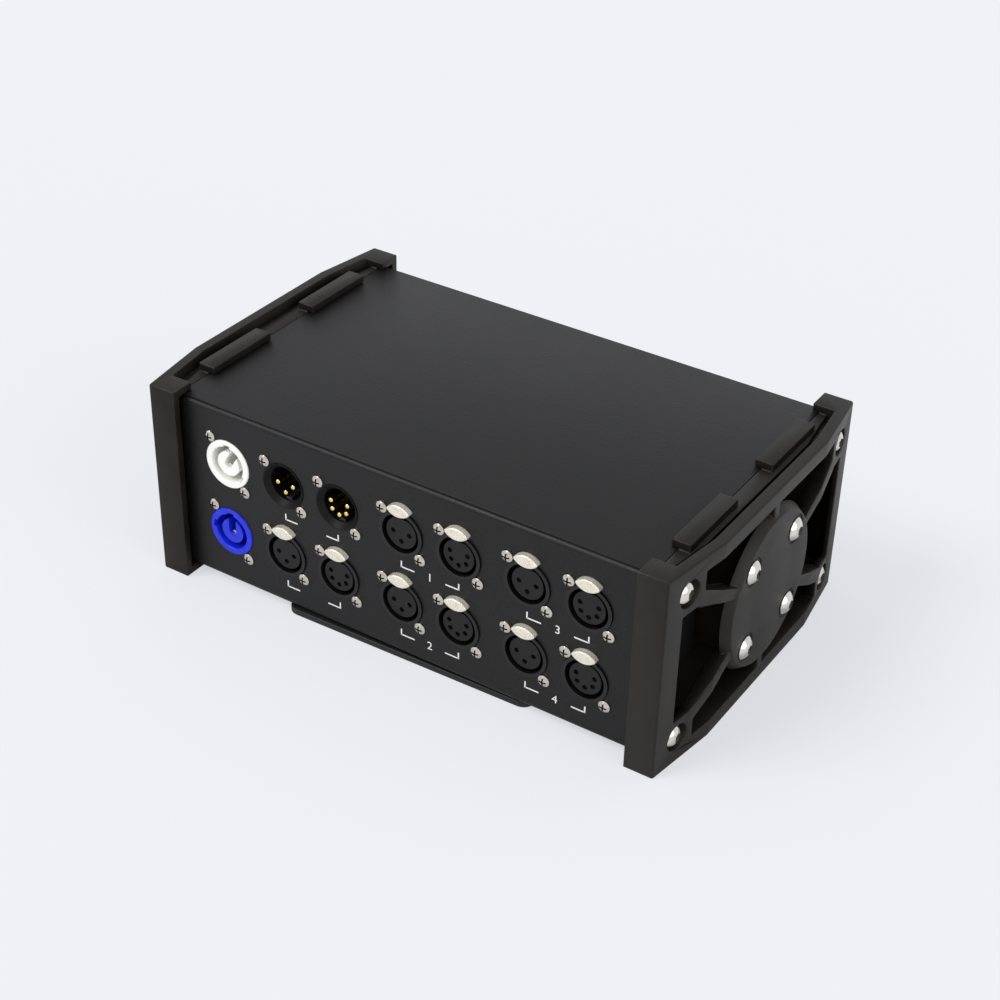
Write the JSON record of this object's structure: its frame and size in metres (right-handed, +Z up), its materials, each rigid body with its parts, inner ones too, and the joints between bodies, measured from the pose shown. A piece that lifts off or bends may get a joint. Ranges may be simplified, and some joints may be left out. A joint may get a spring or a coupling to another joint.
{
  "type": "dmx splitter",
  "caption": "Steel box between two moulded lattice cheeks, with power and data sockets on the front, push-to-release tabs and a swivelling mounting plate beneath.",
  "frame": {"origin": "bottom centre of the box, on the surface that the cheeks stand on", "axes": "+X to the right along the front panel, +Y to the rear, +Z up; the sockets face -Y"},
  "size_m": [0.2888, 0.173, 0.102],
  "materials": {
    "panel_black": "fine textured black powder coat, satin",
    "lid_black": "fine textured black powder coat, satin",
    "tray_steel": "black powder coat over steel sheet",
    "cheek_rubber": "dark warm grey moulded rubber, fine grain, matte",
    "cheek_screw_chrome": "polished chrome plate",
    "zinc_steel": "bright zinc plate",
    "socket_screw_nickel": "nickel plate, lightly dulled",
    "plate_black": "black powder coat, satin",
    "circuit_board": "green solder resist over glass laminate",
    "chip_black": "moulded epoxy, matte",
    "transformer_iron": "varnished laminations",
    "capacitor_can": "sleeved aluminium can",
    "terminal_green": "moulded green plastic",
    "wire_grey": "soft insulation, matte",
    "insert_black": "moulded black plastic, satin",
    "contact_gold": "gold plate",
    "contact_tin": "tin plate",
    "power_in_blue": "moulded blue plastic, satin",
    "power_in_core_blue": "moulded blue plastic, satin",
    "power_link_white": "moulded pale grey plastic, satin",
    "power_link_core_grey": "moulded pale grey plastic, satin",
    "input_shell_grey": "die-cast metal with dark grey finish",
    "output_shell_black": "die-cast metal with black finish",
    "push_tab_silver": "pale fine-textured metal"
  },
  "bodies": {
    "root": {"base_tray": "tray_steel", "cheek_screw_nuts": "zinc_steel", "female_contacts": "contact_gold", "five_hole_inserts": "insert_black", "front_panel": "panel_black", "input_3pin_insert": "insert_black", "input_3pin_shell": "input_shell_grey", "input_5pin_insert": "insert_black", "input_5pin_shell": "input_shell_grey", "input_earth_tabs": "contact_tin", "input_pins": "contact_gold", "left_cheek": "cheek_rubber", "left_cheek_screws": "cheek_screw_chrome", "link_3pin_shell": "output_shell_black", "link_5pin_shell": "output_shell_black", "low_voltage_wires": "wire_grey", "mains_wires": "wire_grey", "output_1_3pin_shell": "output_shell_black", "output_1_5pin_shell": "output_shell_black", "output_2_3pin_shell": "output_shell_black", "output_2_5pin_shell": "output_shell_black", "output_3_3pin_shell": "output_shell_black", "output_3_5pin_shell": "output_shell_black", "output_4_3pin_shell": "output_shell_black", "output_4_5pin_shell": "output_shell_black", "panel_screws": "zinc_steel", "plate_bolt": "zinc_steel", "plate_nut": "zinc_steel", "plate_washer": "zinc_steel", "power_contacts": "contact_tin", "power_in_post": "power_in_core_blue", "power_in_shell": "power_in_blue", "power_link_post": "power_link_core_grey", "power_link_shell": "power_link_white", "rear_panel": "panel_black", "right_cheek": "cheek_rubber", "right_cheek_screws": "cheek_screw_chrome", "socket_nuts": "zinc_steel", "socket_screws": "socket_screw_nickel", "splitter_board": "circuit_board", "splitter_board_chips": "chip_black", "supply_board": "circuit_board", "supply_capacitors": "capacitor_can", "supply_pillars": "zinc_steel", "supply_screws": "zinc_steel", "supply_terminals": "terminal_green", "supply_transformer": "transformer_iron", "three_hole_inserts": "insert_black", "top_cover": "lid_black"},
    "link_3pin_push_tab": {"link_3pin_push_tab": "push_tab_silver"},
    "link_5pin_push_tab": {"link_5pin_push_tab": "push_tab_silver"},
    "output_1_3pin_push_tab": {"output_1_3pin_push_tab": "push_tab_silver"},
    "output_1_5pin_push_tab": {"output_1_5pin_push_tab": "push_tab_silver"},
    "output_2_3pin_push_tab": {"output_2_3pin_push_tab": "push_tab_silver"},
    "output_2_5pin_push_tab": {"output_2_5pin_push_tab": "push_tab_silver"},
    "output_3_3pin_push_tab": {"output_3_3pin_push_tab": "push_tab_silver"},
    "output_3_5pin_push_tab": {"output_3_5pin_push_tab": "push_tab_silver"},
    "output_4_3pin_push_tab": {"output_4_3pin_push_tab": "push_tab_silver"},
    "output_4_5pin_push_tab": {"output_4_5pin_push_tab": "push_tab_silver"},
    "mounting_plate": {"mounting_plate": "plate_black"}
  },
  "joints": [
    {"name": "link_3pin_push", "type": "slide", "parent": "root", "child": "link_3pin_push_tab", "axis": [0, 1, 0], "range_m": [0, 0.0016], "stiffness_N_per_m": 300},
    {"name": "link_5pin_push", "type": "slide", "parent": "root", "child": "link_5pin_push_tab", "axis": [0, 1, 0], "range_m": [0, 0.0016], "stiffness_N_per_m": 300},
    {"name": "output_1_3pin_push", "type": "slide", "parent": "root", "child": "output_1_3pin_push_tab", "axis": [0, 1, 0], "range_m": [0, 0.0016], "stiffness_N_per_m": 300},
    {"name": "output_1_5pin_push", "type": "slide", "parent": "root", "child": "output_1_5pin_push_tab", "axis": [0, 1, 0], "range_m": [0, 0.0016], "stiffness_N_per_m": 300},
    {"name": "output_2_3pin_push", "type": "slide", "parent": "root", "child": "output_2_3pin_push_tab", "axis": [0, 1, 0], "range_m": [0, 0.0016], "stiffness_N_per_m": 300},
    {"name": "output_2_5pin_push", "type": "slide", "parent": "root", "child": "output_2_5pin_push_tab", "axis": [0, 1, 0], "range_m": [0, 0.0016], "stiffness_N_per_m": 300},
    {"name": "output_3_3pin_push", "type": "slide", "parent": "root", "child": "output_3_3pin_push_tab", "axis": [0, 1, 0], "range_m": [0, 0.0016], "stiffness_N_per_m": 300},
    {"name": "output_3_5pin_push", "type": "slide", "parent": "root", "child": "output_3_5pin_push_tab", "axis": [0, 1, 0], "range_m": [0, 0.0016], "stiffness_N_per_m": 300},
    {"name": "output_4_3pin_push", "type": "slide", "parent": "root", "child": "output_4_3pin_push_tab", "axis": [0, 1, 0], "range_m": [0, 0.0016], "stiffness_N_per_m": 300},
    {"name": "output_4_5pin_push", "type": "slide", "parent": "root", "child": "output_4_5pin_push_tab", "axis": [0, 1, 0], "range_m": [0, 0.0016], "stiffness_N_per_m": 300},
    {"name": "plate_swivel", "type": "hinge", "parent": "root", "child": "mounting_plate", "pos_m": [0, 0, 0.0004], "axis": [0, 0, 1], "continuous": true}
  ]
}
